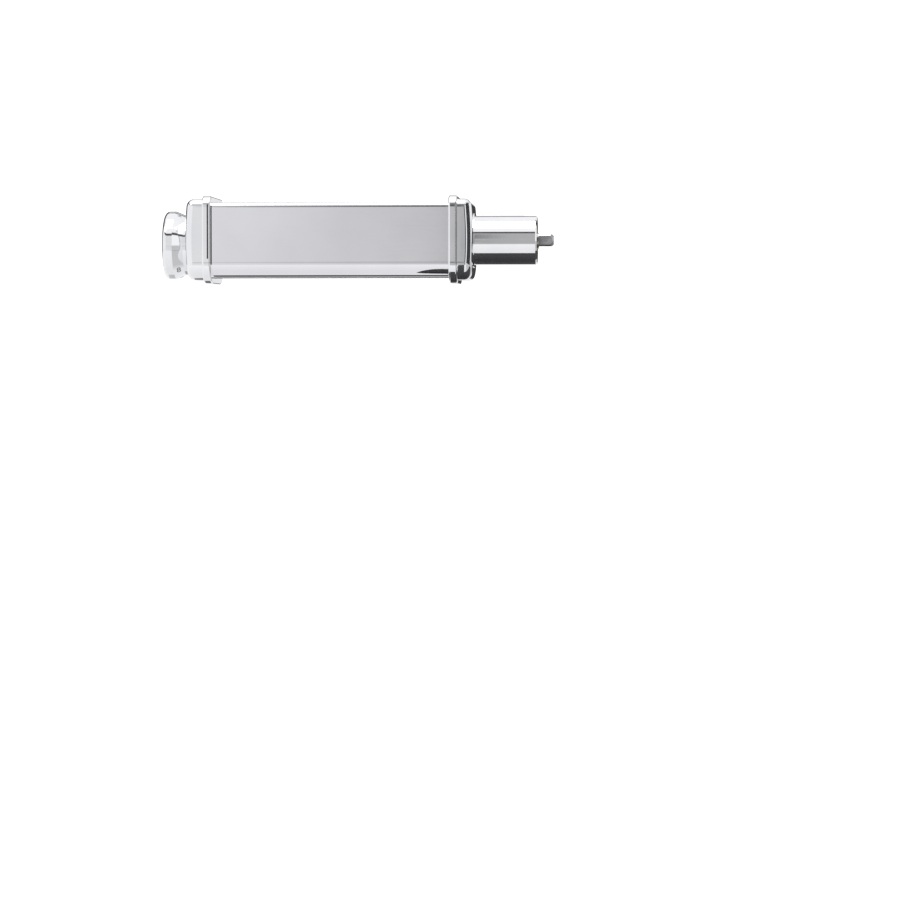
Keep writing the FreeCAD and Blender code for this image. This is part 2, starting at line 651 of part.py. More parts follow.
def adjuster_shaft():
    """Round in its bush, square in the cam and under the knob, tapped at the outer end."""
    half = SQUARE / 2
    inner = box(CAM_X - CAM_THICK, CAM_X, -half, half, ROLLER_Z - half, ROLLER_Z + half)
    middle = rod(out(0), CAM_X - CAM_THICK, 0, ROLLER_Z, ADJUSTER_RADIUS)
    outer = square_bar(0, washer_station(), SQUARE)
    shaft = inner.fuse(middle).fuse(outer)
    station = washer_station()
    return shaft.cut(knob_rod(station - SCREW_GRIP, station, 0, ROLLER_Z, SCREW_RADIUS + SEAT))


def adjuster_bush():
    return bush(LEFT_END, CAM_X - CAM_THICK - CLEAR, 0, ROLLER_Z, ADJUSTER_RADIUS, BUSH_WALL)


def knob_turning():
    """Solid of revolution: ring, tapered skirt, straight grip, rounded shoulder, domed face."""
    end = KNOB_GAP + KNOB_LENGTH
    face = end - KNOB_DOME
    shoulder = (KNOB_RADIUS + KNOB_FACE) / 2 + (KNOB_RADIUS - KNOB_FACE) * 0.2
    ring = (KNOB_BAND + face) / 2 + (face - KNOB_BAND) * 0.2

    def at(distance, radius):
        return vec(out(distance), 0, ROLLER_Z + radius)

    dome = (KNOB_FACE ** 2 + KNOB_DOME ** 2) / (2 * KNOB_DOME)
    half_radius = KNOB_FACE / 2
    half_drop = dome - math.sqrt(dome ** 2 - half_radius ** 2)
    edges = [
        line(at(KNOB_GAP, 0), at(KNOB_GAP, KNOB_NECK)),
        line(at(KNOB_GAP, KNOB_NECK), at(KNOB_RING, KNOB_NECK)),
        line(at(KNOB_RING, KNOB_NECK), at(KNOB_TAPER, KNOB_RADIUS)),
        line(at(KNOB_TAPER, KNOB_RADIUS), at(KNOB_BAND, KNOB_RADIUS)),
        Part.Arc(at(KNOB_BAND, KNOB_RADIUS), at(ring, shoulder), at(face, KNOB_FACE)).toShape(),
        Part.Arc(at(face, KNOB_FACE), at(end - half_drop, half_radius), at(end, 0)).toShape(),
        line(at(end, 0), at(KNOB_GAP, 0)),
    ]
    return Part.Face(Part.Wire(edges)).revolve(vec(0, 0, ROLLER_Z), vec(1, 0, 0), 360)


def cap_seat():
    """Distance out of the ledge that the knob's cap sits on."""
    dome = (KNOB_FACE ** 2 + KNOB_DOME ** 2) / (2 * KNOB_DOME)
    edge = KNOB_GAP + KNOB_LENGTH - dome + math.sqrt(dome ** 2 - CAP_RADIUS ** 2)
    return edge - CAP_THICK


def index_spot():
    return INDEX_CIRCLE + ROLLER_Z


def knob():
    """Die-cast knob, hollow behind the grip, with a pocket for its spring."""
    end = KNOB_GAP + KNOB_LENGTH
    body = knob_turning()
    hollow = knob_rod(0, KNOB_GAP + KNOB_RECESS, 0, ROLLER_Z, KNOB_NECK - KNOB_WALL)
    hollow = hollow.cut(knob_rod(0, KNOB_GAP + KNOB_RECESS, 0, ROLLER_Z, KNOB_BOSS))
    pin_boss = knob_rod(2 * KNOB_GAP, KNOB_GAP + KNOB_RECESS, 0, index_spot(), 2 * INDEX_RADIUS)
    body = body.cut(hollow.cut(pin_boss))
    body = body.cut(knob_rod(cap_seat(), end, 0, ROLLER_Z, CAP_RADIUS + SEAT))
    body = body.cut(knob_rod(KNOB_GAP + KNOB_FLOOR, end, 0, ROLLER_Z, SPRING_ROOM))
    body = body.cut(square_bar(0, end, SQUARE + 2 * SLIDING))
    return body.cut(knob_rod(0, INDEX_LENGTH, 0, index_spot(), INDEX_RADIUS + SEAT))


def knob_cap():
    seat = knob_rod(cap_seat(), KNOB_GAP + KNOB_LENGTH, 0, ROLLER_Z, CAP_RADIUS)
    return knob_turning().common(seat)


def index_pin():
    """Round-nosed pin in the knob that finds the dents of the cover."""
    nose = INDEX_RADIUS + SLIDING
    stem = knob_rod(nose, INDEX_LENGTH, 0, index_spot(), INDEX_RADIUS)
    return stem.fuse(Part.makeSphere(INDEX_RADIUS, vec(out(nose), 0, index_spot()))).removeSplitter()


def knob_washer():
    station = washer_station()
    ring = knob_rod(station, station + WASHER_THICK, 0, ROLLER_Z, WASHER_RADIUS)
    return ring.cut(knob_rod(station, station + WASHER_THICK, 0, ROLLER_Z, SCREW_RADIUS + SEAT))


def knob_screw():
    """Pan-head screw that keeps the spring and washer on the shaft."""
    station = washer_station() + WASHER_THICK
    head = knob_rod(station, station + SCREW_RADIUS, 0, ROLLER_Z, SCREW_HEAD)
    shank = knob_rod(washer_station() - SCREW_GRIP + CLEAR, station, 0, ROLLER_Z, SCREW_RADIUS)
    return head.fuse(shank)


def knob_spring():
    """Sleeve with the outside, bore and length of the spring between the knob's floor and the washer."""
    start = KNOB_GAP + KNOB_FLOOR + SLIDING
    end = washer_station() - SLIDING
    sleeve = knob_rod(start, end, 0, ROLLER_Z, SPRING_RADIUS + SPRING_WIRE / 2)
    return sleeve.cut(knob_rod(start, end, 0, ROLLER_Z, SPRING_RADIUS - SPRING_WIRE / 2))


# Drive

def drive_hub():
    """Plain round hub with a spigot in the cover, a through bore and a locating notch."""
    hub = rod(0, HUB_LENGTH, 0, 0, HUB_RADIUS)
    far = [e for e in hub.Edges if len(e.Vertexes) == 1 and e.CenterOfMass.x > HUB_LENGTH / 2]
    hub = hub.makeChamfer(HUB_EDGE, far[:1])
    hub = hub.fuse(rod(-COVER_END_WALL, 0, 0, 0, SPIGOT_RADIUS)).removeSplitter()
    hub = hub.cut(rod(-COVER_END_WALL, HUB_LENGTH, 0, 0, SHAFT_RADIUS + SHAFT_BUSH_WALL + SEAT))
    half = NOTCH_WIDTH / 2
    notch = box(HUB_LENGTH - NOTCH_LENGTH, HUB_LENGTH, -half, half, HUB_RADIUS - NOTCH_DEPTH, HUB_RADIUS)
    return hub.cut(notch)


def hub_bush(x0):
    return bush(x0, x0 + SHAFT_BUSH_LENGTH, 0, 0, SHAFT_RADIUS, SHAFT_BUSH_WALL)


def clip_station():
    return HUB_LENGTH + CLEAR


def drive_shaft():
    """Shaft through the hub: pinion seat, thrust collar, journal and square driving end."""
    tip_end = HUB_LENGTH + TIP_LENGTH
    seat = rod(DRIVE_X, DRIVE_END, 0, 0, PINION_SEAT)
    collar = rod(DRIVE_END, -COVER_END_WALL - CLEAR, 0, 0, COLLAR_RADIUS)
    journal = rod(-COVER_END_WALL - CLEAR, clip_station() + CLIP_THICK + CLIP_LAND, 0, 0, SHAFT_RADIUS)
    half = TIP_SQUARE / 2
    tip_x = clip_station() + CLIP_THICK + CLIP_LAND
    tip = box(tip_x, tip_end, -half, half, -half, half).common(rod(tip_x, tip_end, 0, 0, SHAFT_RADIUS))
    taper_x = tip_end - TIP_TAPER
    point = Part.makeCone(SHAFT_RADIUS, SHAFT_RADIUS - TIP_TAPER, TIP_TAPER, vec(taper_x, 0, 0), vec(1, 0, 0))
    tip = tip.common(rod(tip_x, taper_x, 0, 0, SHAFT_RADIUS).fuse(point))
    shaft = seat.fuse(collar).fuse(journal).fuse(tip).removeSplitter()
    ring = tube(
        clip_station() - SEAT, clip_station() + CLIP_THICK + SEAT, 0, 0,
        HUB_RADIUS, SHAFT_RADIUS - CLIP_WALL / 2,
    )
    return shaft.cut(ring)


def drive_pinion():
    """Pinion on the hub's axis, one tooth space towards the driven gear."""
    turn = math.atan2(ROLLER_Z, FIXED_Y) + math.pi / PINION_TEETH
    blank = drive_gear_blank((0, 0), PINION_TEETH, turn)
    return blank.cut(rod(DRIVE_X, DRIVE_END, 0, 0, PINION_SEAT + SEAT))


def all_parts():
    fixed_end = DRIVE_END + CLIP_THICK + CLIP_LAND
    moving_end = SYNC_END + CLIP_THICK + CLIP_LAND
    left_bore = LEFT_OUT + BLOCK_WALL
    half_tooth = math.pi / SYNC_TEETH
    right_frame = side_frame()
    right_guide = dough_guide()
    parts = {
        "right_side_frame": right_frame,
        "left_side_frame": mirrored(right_frame),
        "right_end_cover": end_cover(COVER_DEPTH, 0, SPIGOT_RADIUS),
        "left_end_cover": left_end_cover(),
        "front_panel": panel(True),
        "rear_panel": panel(False),
        "right_dough_guide": right_guide,
        "left_dough_guide": mirrored(right_guide),
        "front_scraper_bar": tapped_ends(rod(LEFT_IN, FRAME_IN, FIXED_Y, BAR_Z, BAR_RADIUS), FIXED_Y, BAR_Z),
        "front_scraper": scraper(FIXED_Y, 1),
        "rod_screws": rod_screws(),
        "cover_screws": cover_screws(),
        "fixed_roller": roller(FIXED_Y, LEFT_OUT + CLEAR, fixed_end),
        "fixed_roller_clip": clip(DRIVE_END, FIXED_Y, ROLLER_Z, SPINDLE_RADIUS),
        "left_fixed_bush": bush(LEFT_OUT, LEFT_IN, FIXED_Y, ROLLER_Z, JOURNAL_RADIUS, BUSH_WALL),
        "right_fixed_bush": bush(FRAME_IN, FRAME_OUT, FIXED_Y, ROLLER_Z, JOURNAL_RADIUS, BUSH_WALL),
        "fixed_sync_gear": sync_gear(FIXED_Y, 0),
        "driven_gear": driven_gear(),
        "gear_spacer": gear_spacer(),
        "moving_roller": roller(MOVING_Y, left_bore + CLEAR, moving_end),
        "moving_roller_clip": clip(SYNC_END, MOVING_Y, ROLLER_Z, SPINDLE_RADIUS),
        "moving_sync_gear": sync_gear(MOVING_Y, half_tooth),
        "left_bearing_block": left_bearing_block(),
        "right_bearing_block": bearing_block(FRAME_OUT),
        "left_block_bush": bush(left_bore, LEFT_IN, MOVING_Y, ROLLER_Z, JOURNAL_RADIUS, BUSH_WALL),
        "right_block_bush": bush(FRAME_IN, FRAME_OUT, MOVING_Y, ROLLER_Z, JOURNAL_RADIUS, BUSH_WALL),
        "carriage_tie_bar": tapped_ends(rod(LEFT_IN, FRAME_IN, MOVING_Y, BAR_Z, BAR_RADIUS), MOVING_Y, BAR_Z),
        "carriage_screws": carriage_screws(),
        "rear_scraper": scraper(MOVING_Y, -1),
        "follower_pin": follower_pin(),
        "scroll_cam": scroll_cam(),
        "adjuster_shaft": adjuster_shaft(),
        "adjuster_bush": adjuster_bush(),
        "knob": knob(),
        "knob_cap": knob_cap(),
        "index_pin": index_pin(),
        "knob_spring": knob_spring(),
        "knob_washer": knob_washer(),
        "knob_screw": knob_screw(),
        "drive_hub": drive_hub(),
        "inner_hub_bush": hub_bush(-COVER_END_WALL),
        "outer_hub_bush": hub_bush(HUB_LENGTH - SHAFT_BUSH_LENGTH),
        "drive_shaft": drive_shaft(),
        "drive_shaft_clip": clip(clip_station(), 0, 0, SHAFT_RADIUS),
        "drive_pinion": drive_pinion(),
    }
    for name, (y, z) in TIE_RODS.items():
        parts[name] = tie_rod(y, z)
    return parts


os.makedirs("parts", exist_ok=True)
for name, shape in all_parts().items():
    shape.exportStep("parts/" + name + ".step")
print("knob travel", round(math.degrees(KNOB_TRAVEL), 1), "carriage travel", round(GAP_TRAVEL, 2))
print("roller axes", round(FIXED_Y, 4), round(MOVING_Y, 4))
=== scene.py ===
# %% [markdown]
# This lesson dresses a pasta roller attachment: a slim chromed box with two steel rollers inside,
# a drive hub on its right and a setting knob on its left. The machine itself comes in as a fixed
# frame of named pieces, so the work here is finish, small marks, light and camera. Everything is
# in metres: +X runs along the hub, -Y is the front and +Z is up.

import json
import math

import bmesh
import bpy
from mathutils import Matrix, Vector


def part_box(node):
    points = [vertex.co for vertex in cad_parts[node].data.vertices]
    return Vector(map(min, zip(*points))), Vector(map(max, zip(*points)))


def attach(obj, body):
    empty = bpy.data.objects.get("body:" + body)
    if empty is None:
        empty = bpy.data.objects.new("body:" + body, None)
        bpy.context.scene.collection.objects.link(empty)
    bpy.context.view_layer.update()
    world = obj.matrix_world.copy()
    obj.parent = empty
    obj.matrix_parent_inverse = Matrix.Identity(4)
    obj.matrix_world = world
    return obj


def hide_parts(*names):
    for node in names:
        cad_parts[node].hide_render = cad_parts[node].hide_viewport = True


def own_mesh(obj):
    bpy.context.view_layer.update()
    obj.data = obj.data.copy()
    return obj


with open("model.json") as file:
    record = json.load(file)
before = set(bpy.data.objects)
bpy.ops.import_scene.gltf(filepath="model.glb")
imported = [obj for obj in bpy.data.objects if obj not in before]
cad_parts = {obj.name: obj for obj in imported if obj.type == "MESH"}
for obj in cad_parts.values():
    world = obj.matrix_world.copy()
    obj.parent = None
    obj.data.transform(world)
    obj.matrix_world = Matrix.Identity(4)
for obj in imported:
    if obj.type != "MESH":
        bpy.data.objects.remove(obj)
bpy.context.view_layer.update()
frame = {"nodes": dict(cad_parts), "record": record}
nodes = frame["nodes"]
print("pieces in the frame:", len(nodes))

# %% [markdown]
# The pieces arrive as triangles. A mirror finish shows every facet, so the round faces need
# smooth shading while true corners stay crisp. Splitting by angle does both: neighbours that
# meet at less than the angle share a normal, and sharper edges keep their own.

# %% Smooth the round faces
CORNER_ANGLE = math.radians(24)


def smooth_round_faces(piece):
    piece.data.shade_smooth()
    piece.data.set_sharp_from_angle(angle=CORNER_ANGLE)


for piece in nodes.values():
    smooth_round_faces(piece)
print("smoothed", len(nodes), "pieces at", round(math.degrees(CORNER_ANGLE)), "degrees")

# %% [markdown]
# Every finish is one shader. A metal mirrors in its own colour, and a plastic is a colour under a
# clear skin. The Principled shader covers both with one number, so one helper starts every
# recipe, and another keeps the result under the name of its slot in the record.

# %% Start and keep a finish
METAL = 1.0
PLASTIC = 0.0
USUAL_IOR = 1.5

finishes = {}


def new_finish(name, metallic, ior=USUAL_IOR):
    finish = bpy.data.materials.new(name)
    finish.use_nodes = True
    shader = finish.node_tree.nodes["Principled BSDF"]
    shader.inputs["Metallic"].default_value = metallic
    shader.inputs["IOR"].default_value = ior
    return finish, finish.node_tree, shader


def keep(slot, finish):
    finishes[slot] = finish
    print("finish", finish.name, "for slot", slot, "has", len(finish.node_tree.nodes), "nodes")


print("finishes so far:", len(finishes))

# %% [markdown]
# No real surface is even. A picture of wear could be laid on each piece, but it would have to be
# unwrapped first. A noise in the piece's own metres needs no unwrapping: it gives patches, and
# squeezing one axis turns the patches into hairlines or rings. Two more helpers map a noise onto
# a range and keep the larger of two.

# %% Noise for unevenness
GRAIN_ROUGHNESS = 0.55      # how much the finest patches count
NOISE_LOW = 0.3             # most of the noise lies between these two
NOISE_HIGH = 0.7


def grain(tree, scale, stretch=(1, 1, 1), detail=3.0):
    """Noise in the piece's own space; scale is patches per metre, stretch squeezes each axis."""
    place = tree.nodes.new("ShaderNodeTexCoord")
    turn = tree.nodes.new("ShaderNodeMapping")
    turn.inputs["Scale"].default_value = stretch
    noise = tree.nodes.new("ShaderNodeTexNoise")
    noise.inputs["Scale"].default_value = scale
    noise.inputs["Detail"].default_value = detail
    noise.inputs["Roughness"].default_value = GRAIN_ROUGHNESS
    tree.links.new(place.outputs["Object"], turn.inputs["Vector"])
    tree.links.new(turn.outputs["Vector"], noise.inputs["Vector"])
    return noise.outputs["Fac"]


def spread(tree, pattern, low, high, start=NOISE_LOW, end=NOISE_HIGH):
    """Map a pattern's range from start to end onto low..high."""
    reach = tree.nodes.new("ShaderNodeMapRange")
    reach.inputs["From Min"].default_value = start
    reach.inputs["From Max"].default_value = end
    reach.inputs["To Min"].default_value = low
    reach.inputs["To Max"].default_value = high
    tree.links.new(pattern, reach.inputs["Value"])
    return reach.outputs["Result"]


def larger(tree, first, second):
    pick = tree.nodes.new("ShaderNodeMath")
    pick.operation = "MAXIMUM"
    tree.links.new(first, pick.inputs[0])
    tree.links.new(second, pick.inputs[1])
    return pick.outputs["Value"]


print("noise is used between", NOISE_LOW, "and", NOISE_HIGH)

# %% [markdown]
# A noise can show on a surface in three ways: as a blend of two colours, as a change of gloss, or
# as relief. Relief is a bump here and not real geometry, because it is only microns deep.

# %% Colour, gloss and relief
MICRON = 1e-6
RELIEF_STRENGTH = 1.0


def tint(tree, shader, pattern, dark, light, start=NOISE_LOW, end=NOISE_HIGH):
    """Blend two colours by a pattern and use the result as the base colour."""
    ramp = tree.nodes.new("ShaderNodeValToRGB")
    ramp.color_ramp.elements[0].position = start
    ramp.color_ramp.elements[0].color = (*dark, 1)
    ramp.color_ramp.elements[1].position = end
    ramp.color_ramp.elements[1].color = (*light, 1)
    tree.links.new(pattern, ramp.inputs["Fac"])
    tree.links.new(ramp.outputs["Color"], shader.inputs["Base Color"])


def set_roughness(tree, shader, value):
    tree.links.new(value, shader.inputs["Roughness"])


def relief(tree, shader, pattern, height):
    bump = tree.nodes.new("ShaderNodeBump")
    bump.inputs["Strength"].default_value = RELIEF_STRENGTH
    bump.inputs["Distance"].default_value = height
    tree.links.new(pattern, bump.inputs["Height"])
    tree.links.new(bump.outputs["Normal"], shader.inputs["Normal"])


print("relief is measured in steps of", MICRON, "m")

# %% [markdown]
# Chrome plate on the side frames and end covers is a near mirror. What tells it from plain white
# paint is the slight waviness of the plated casting, wiping haze in soft patches and a few fine
# hairlines. Haze and hairlines go into the roughness, and the waviness is a relief of a few
# microns, so that reflections bend a little without looking dented.

# %% Chrome for the housing
CHROME_DARK = (0.83, 0.84, 0.86)
CHROME_LIGHT = (0.92, 0.92, 0.935)


def housing_chrome():
    finish, tree, shader = new_finish("housing_chrome", METAL)
    haze = grain(tree, scale=38, detail=4)
    hairlines = grain(tree, scale=260, stretch=(0.08, 1, 5), detail=2)
    tint(tree, shader, haze, CHROME_DARK, CHROME_LIGHT)
    wiped = spread(tree, haze, low=0.025, high=0.075, start=0.40, end=0.75)
    scratched = spread(tree, hairlines, low=0.02, high=0.11, start=0.66, end=0.80)
    set_roughness(tree, shader, larger(tree, wiped, scratched))
    relief(tree, shader, grain(tree, scale=120, detail=1), height=3 * MICRON)
    return finish


keep("chromed_housing", housing_chrome())

# %% [markdown]
# The knob is turned on a lathe before it is plated, so its haze runs round it. The frame's X axis
# is the knob's own axis, so noise that is dense along X and lazy across it draws those rings.
# Fingers leave soft dull patches on top.

# %% Chrome for the knob
def knob_chrome():
    finish, tree, shader = new_finish("knob_chrome", METAL)
    rings = grain(tree, scale=900, stretch=(1, 0.012, 0.012), detail=2)
    touch = grain(tree, scale=70, detail=5)
    tint(tree, shader, touch, CHROME_DARK, CHROME_LIGHT)
    turned = spread(tree, rings, low=0.03, high=0.08)
    fingered = spread(tree, touch, low=0.02, high=0.13, start=0.52, end=0.80)
    set_roughness(tree, shader, larger(tree, turned, fingered))
    relief(tree, shader, rings, height=0.8 * MICRON)
    return finish


keep("chromed_knob", knob_chrome())

# %% [markdown]
# The front and rear panels are bent from polished sheet. Polishing belts run along the sheet, so
# its marks are long and thin in X. The steel under the polish is a little cooler and darker than
# the plated castings, and that is what gives the flat front its lilac grey.

# %% Polished sheet for the panels
SHEET_DARK = (0.80, 0.80, 0.83)
SHEET_LIGHT = (0.87, 0.87, 0.895)


def polished_sheet():
    finish, tree, shader = new_finish("polished_sheet", METAL)
    belt = grain(tree, scale=1400, stretch=(0.02, 1, 1), detail=3)
    cloud = grain(tree, scale=16, detail=3)
    tint(tree, shader, cloud, SHEET_DARK, SHEET_LIGHT)
    polished = spread(tree, belt, low=0.04, high=0.085)
    clouded = spread(tree, cloud, low=0.03, high=0.10, start=0.45, end=0.80)
    set_roughness(tree, shader, larger(tree, polished, clouded))
    relief(tree, shader, belt, height=0.5 * MICRON)
    return finish


keep("polished_sheet", polished_sheet())

# %% [markdown]
# The rollers are ground between centres. Grinding leaves rings a fraction of a millimetre apart,
# a satin sheen and faint bands where the wheel dwelt.

# %% Ground steel for the rollers
ROLLER_DARK = (0.56, 0.56, 0.57)
ROLLER_LIGHT = (0.68, 0.68, 0.69)


def roller_steel():
    finish, tree, shader = new_finish("roller_steel", METAL)
    rings = grain(tree, scale=4200, stretch=(1, 0.01, 0.01), detail=3)
    bands = grain(tree, scale=160, stretch=(1, 0.02, 0.02), detail=2)
    tint(tree, shader, bands, ROLLER_DARK, ROLLER_LIGHT)
    set_roughness(tree, shader, spread(tree, rings, low=0.22, high=0.31))
    relief(tree, shader, rings, height=0.7 * MICRON)
    return finish


keep("roller_steel", roller_steel())

# %% [markdown]
# Gears, shafts, rods and screws are cut steel that keeps a film of oil: darker than the rollers,
# with cloudy stains. Most of them were turned, so their short tool marks run round the axis.

# %% Machined steel
OILED_DARK = (0.36, 0.36, 0.37)
OILED_LIGHT = (0.54, 0.54, 0.55)


def machined_steel():
    finish, tree, shader = new_finish("machined_steel", METAL)
    stain = grain(tree, scale=210, detail=5)
    tool_marks = grain(tree, scale=3000, stretch=(1, 0.25, 0.25), detail=2)
    tint(tree, shader, stain, OILED_DARK, OILED_LIGHT)
    set_roughness(tree, shader, spread(tree, stain, low=0.24, high=0.42))
    relief(tree, shader, tool_marks, height=3 * MICRON)
    return finish


keep("machined_steel", machined_steel())

# %% [markdown]
# The bearing blocks of the carriage and the scroll cam that moves it are die cast, then tumbled.
# Cast metal scatters light from a pebbled skin, so the relief is coarser here and the roughness
# high.

# %% Cast metal for the carriage and cam
CAST_DARK = (0.55, 0.56, 0.57)
CAST_LIGHT = (0.70, 0.70, 0.71)


def cast_metal():
    finish, tree, shader = new_finish("cast_metal", METAL)
    pebble = grain(tree, scale=1600, detail=4)
    flow = grain(tree, scale=90, detail=3)
    tint(tree, shader, flow, CAST_DARK, CAST_LIGHT)
    set_roughness(tree, shader, spread(tree, pebble, low=0.36, high=0.58))
    relief(tree, shader, pebble, height=12 * MICRON)
    return finish


keep("cast_carriage", cast_metal())

# %% [markdown]
# The bushes are sintered bronze, pressed from powder. Open pores hold the oil, so small dark
# specks sit in a warm yellow metal. The pores are also duller, so their roughness runs backwards.

# %% Sintered bronze for the bushes
PORE_BROWN = (0.24, 0.14, 0.06)
BRONZE_YELLOW = (0.70, 0.47, 0.21)


def sintered_bronze():
    finish, tree, shader = new_finish("sintered_bronze", METAL)
    pores = grain(tree, scale=2600, detail=2)
    tint(tree, shader, pores, PORE_BROWN, BRONZE_YELLOW, start=0.34, end=0.48)
    set_roughness(tree, shader, spread(tree, pores, low=0.55, high=0.30))
    relief(tree, shader, pores, height=10 * MICRON)
    return finish


keep("bronze", sintered_bronze())

# %% [markdown]
# The cheeks beside the rollers and the two scrapers touch food, so they are white nylon. Light
# enters it a little before it comes back, which a small subsurface share gives, and moulding
# leaves a fine sparked texture.

# %% White nylon
NYLON_DARK = (0.56, 0.55, 0.52)
NYLON_LIGHT = (0.66, 0.65, 0.62)
NYLON_IOR = 1.53
NYLON_SHARE = 0.15          # of the light that enters the nylon
NYLON_DEPTH = 0.0012        # and how far it goes


def white_nylon():
    finish, tree, shader = new_finish("white_nylon", PLASTIC, ior=NYLON_IOR)
    sparked = grain(tree, scale=2200, detail=3)
    cloud = grain(tree, scale=60, detail=3)
    tint(tree, shader, cloud, NYLON_DARK, NYLON_LIGHT)
    shader.inputs["Subsurface Weight"].default_value = NYLON_SHARE
    shader.inputs["Subsurface Scale"].default_value = NYLON_DEPTH
    set_roughness(tree, shader, spread(tree, sparked, low=0.40, high=0.56))
    relief(tree, shader, sparked, height=14 * MICRON)
    return finish


keep("nylon", white_nylon())

# %% [markdown]
# The record names one finish slot per piece. The finishes are kept by slot, so one loop dresses
# the whole frame, and a piece added to the machine later is dressed with its slot.

# %% Dress the frame
subparts = frame["record"]["subparts"]


def dress(piece, finish):
    piece.data.materials.clear()
    piece.data.materials.append(finish)


for part in subparts:
    dress(nodes[part["node"]], finishes[part["material_slot"]])
print("dressed", len(subparts), "pieces in", len(finishes), "finishes")

# %% [markdown]
# The knob has eight settings, numbered round its tapered skirt. The skirt is a cone, so a numeral
# can be bent onto it by arithmetic: a distance along the slope and an angle round the axis give
# every point. The knob's box gives the wide end and the axis, and three lengths give the rest.

# %% Measure the skirt
KNOB_RING_END = 0.0022      # from the face beside the cover to the skirt's narrow end
KNOB_TAPER_END = 0.0090     # from the same face to its wide end
KNOB_NECK = 0.0202          # radius of the narrow end

knob_low, knob_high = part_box("knob")
knob_radius = (knob_high.z - knob_low.z) / 2
knob_axis_z = (knob_high.z + knob_low.z) / 2
skirt_run = KNOB_TAPER_END - KNOB_RING_END
skirt_rise = knob_radius - KNOB_NECK
skirt_length = math.hypot(skirt_run, skirt_rise)


def on_skirt(along, angle, proud):
    """Point on the skirt: along its slope from the narrow end, round from the front upwards."""
    share = along / skirt_length
    x = knob_high.x - KNOB_RING_END - skirt_run * share + proud * skirt_rise / skirt_length
    radius = KNOB_NECK + skirt_rise * share + proud * skirt_run / skirt_length
    return Vector((x, -radius * math.cos(angle), knob_axis_z + radius * math.sin(angle)))


def mm(metres):
    return round(metres * 1000, 2)


print("skirt", mm(skirt_length), "mm along its slope")

# %% [markdown]
# A numeral starts as flat writing, a little bolder than the font. Writing has long straight
# strokes, and on a cone their middles would sink in, so edges are halved until all are short.

# %% Cut a flat numeral
NUMERAL_HEIGHT = 0.0046
FONT_SIZE = NUMERAL_HEIGHT * 1.4    # digits stand about 0.7 of their font size high
NUMERAL_PROUD = 0.00004
NUMERAL_BOLD = 0.00010              # widens each stroke on both sides
LONGEST_STROKE = 0.0005
MOST_HALVINGS = 6


def cut_long_edges(shape):
    for _ in range(MOST_HALVINGS):
        bmesh.ops.triangulate(shape, faces=shape.faces)
        long_edges = [edge for edge in shape.edges if edge.calc_length() > LONGEST_STROKE]
        if not long_edges:
            break
        bmesh.ops.subdivide_edges(shape, edges=long_edges, cuts=1)
    bmesh.ops.triangulate(shape, faces=shape.faces)


def flat_numeral(number):
    writing = bpy.data.curves.new("writing", "FONT")
    writing.body = str(number)
    writing.size = FONT_SIZE
    writing.align_x = "CENTER"
    writing.align_y = "CENTER"
    writing.extrude = NUMERAL_PROUD
    writing.offset = NUMERAL_BOLD
    flat = bpy.data.objects.new("writing", writing)
    mesh = bpy.data.meshes.new_from_object(flat)
    bpy.data.objects.remove(flat)
    return mesh


print("numerals", mm(NUMERAL_HEIGHT), "mm high, strokes cut to", mm(LONGEST_STROKE), "mm")

# %% [markdown]
# Then the writing is wrapped on the cone: its width runs along the axis and its height round the
# skirt, so the one at the front reads level.

# %% Wrap the numeral on the skirt
skirt_middle = KNOB_NECK + skirt_rise / 2


def add_object(name, data):
    added = bpy.data.objects.new(name, data)
    bpy.context.scene.collection.objects.link(added)
    return added


def numeral(number, angle):
    mesh = flat_numeral(number)
    shape = bmesh.new()
    shape.from_mesh(mesh)
    bmesh.ops.remove_doubles(shape, verts=shape.verts, dist=MICRON)
    cut_long_edges(shape)
    for vert in shape.verts:
        along = skirt_length / 2 - vert.co.x
        vert.co = on_skirt(along, angle + vert.co.y / skirt_middle, vert.co.z)
    bmesh.ops.recalc_face_normals(shape, faces=shape.faces)
    shape.to_mesh(mesh)
    shape.free()
    return add_object(f"dial_numeral_{number}", mesh)


print("numerals are centred at radius", mm(skirt_middle), "mm")

# %% [markdown]
# The numerals are etched through the plating. Etched metal is the same metal made matt, so it
# reads as soft grey beside the mirror, lighter or darker with the angle, as real dial marks do.

# %% Etched metal for the marks
ETCHED_DARK = (0.24, 0.245, 0.255)
ETCHED_LIGHT = (0.38, 0.385, 0.395)


def etched_metal():
    finish, tree, shader = new_finish("etched_metal", METAL)
    frost = grain(tree, scale=5200, detail=3)
    tint(tree, shader, frost, ETCHED_DARK, ETCHED_LIGHT)
    set_roughness(tree, shader, spread(tree, frost, low=0.42, high=0.60))
    relief(tree, shader, frost, height=4 * MICRON)
    return finish


etched = etched_metal()
print("finish", etched.name, "for the numerals")

# %% [markdown]
# Turning the knob by one step brings the next numeral to the index. A turn of the joint carries
# the front of the knob down, so each numeral sits one step further up and over.

# %% Number the settings
SETTINGS = 8
SETTING_STEP = math.radians(40)
INDEX_ANGLE = math.radians(28)

for setting in range(SETTINGS):
    mark = numeral(setting + 1, INDEX_ANGLE + setting * SETTING_STEP)
    dress(mark, etched)
    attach(mark, "knob")
print("numerals", SETTINGS)

# %% [markdown]
# Inside the knob a coil spring pulls it home, so that its pin drops into a dent. The frame holds
# only a sleeve in its place. A real spring is one wire: a turn lies flat at each end, and the
# turns between climb evenly. So the height of the wire is worked out first, turn by turn.

# %% Path of the spring's wire
SPRING_WIRE = 0.0009
FLAT_TURNS = 1              # at each end
OPEN_TURNS = 3

